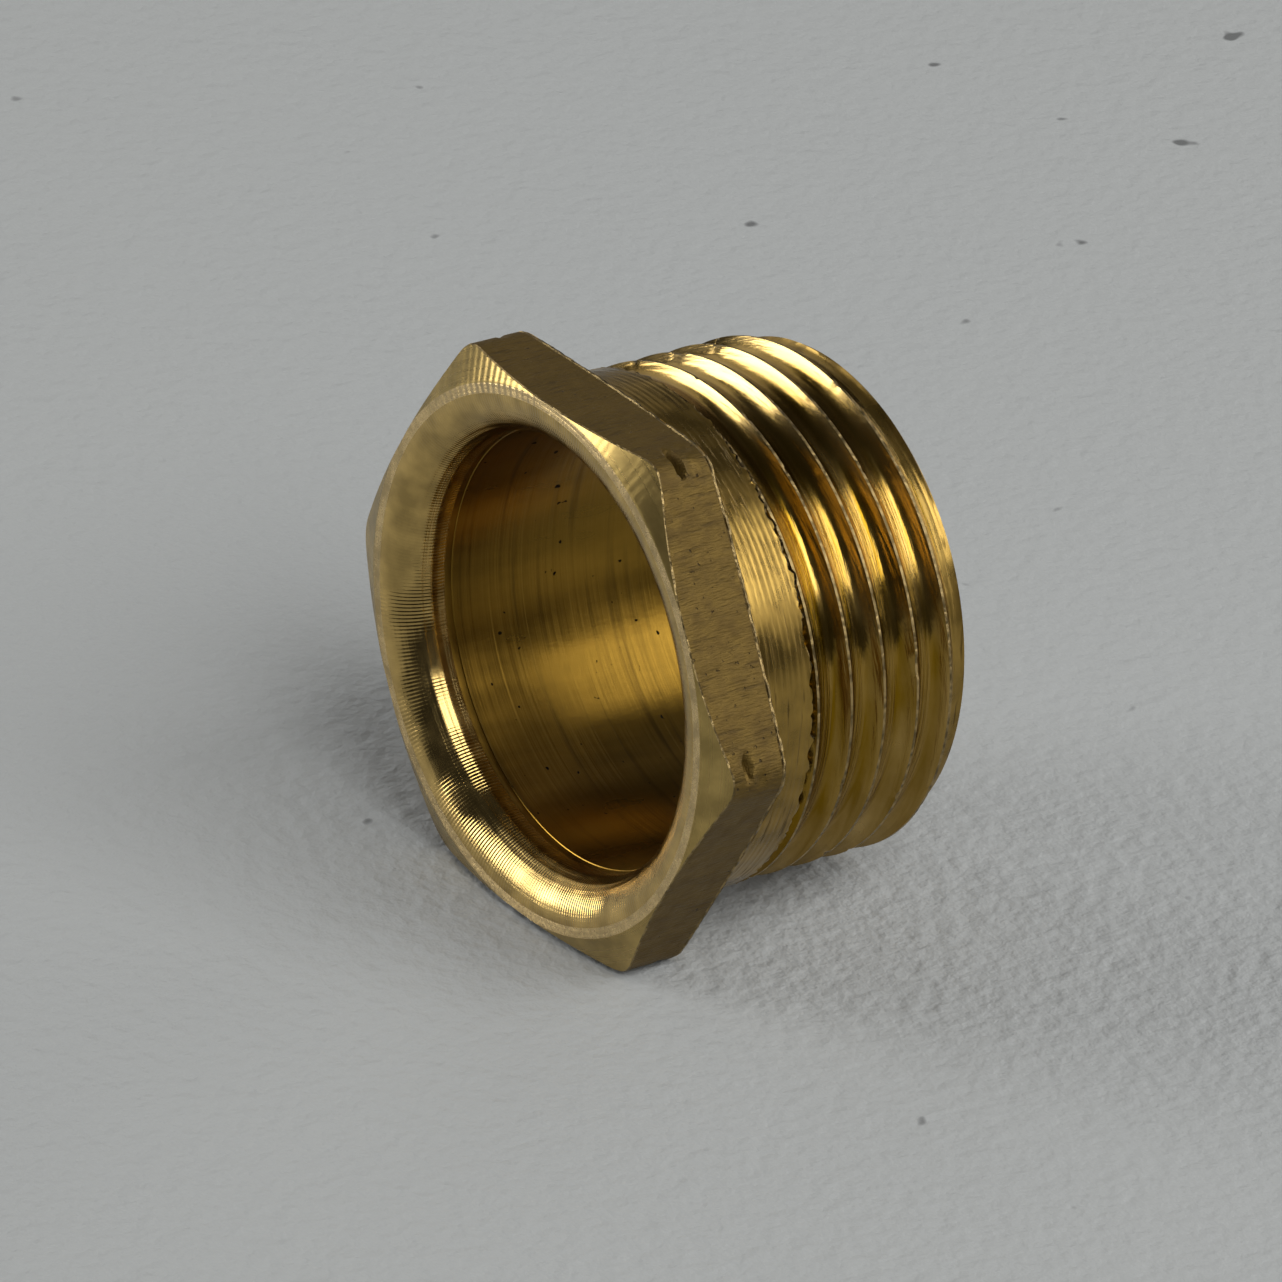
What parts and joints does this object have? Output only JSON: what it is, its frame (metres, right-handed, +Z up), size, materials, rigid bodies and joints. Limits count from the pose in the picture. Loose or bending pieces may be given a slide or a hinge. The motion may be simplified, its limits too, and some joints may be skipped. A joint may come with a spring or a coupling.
{
  "type": "male hexagon bush",
  "caption": "Short hollow brass bush with a thin hexagon head, rounded bore mouth, plain neck and external thread.",
  "frame": {"origin": "on the bore axis, at the shoulder under the hexagon head", "axes": "+Y along the thread axis, from the head towards the threaded end; +Z up, with one hexagon flat facing straight down"},
  "size_m": [0.0238, 0.0128, 0.021],
  "materials": {
    "brass": "drawn hexagon bar, turned and threaded, lightly tarnished"
  },
  "bodies": {
    "root": {"hex_bush": "brass"}
  },
  "joints": []
}
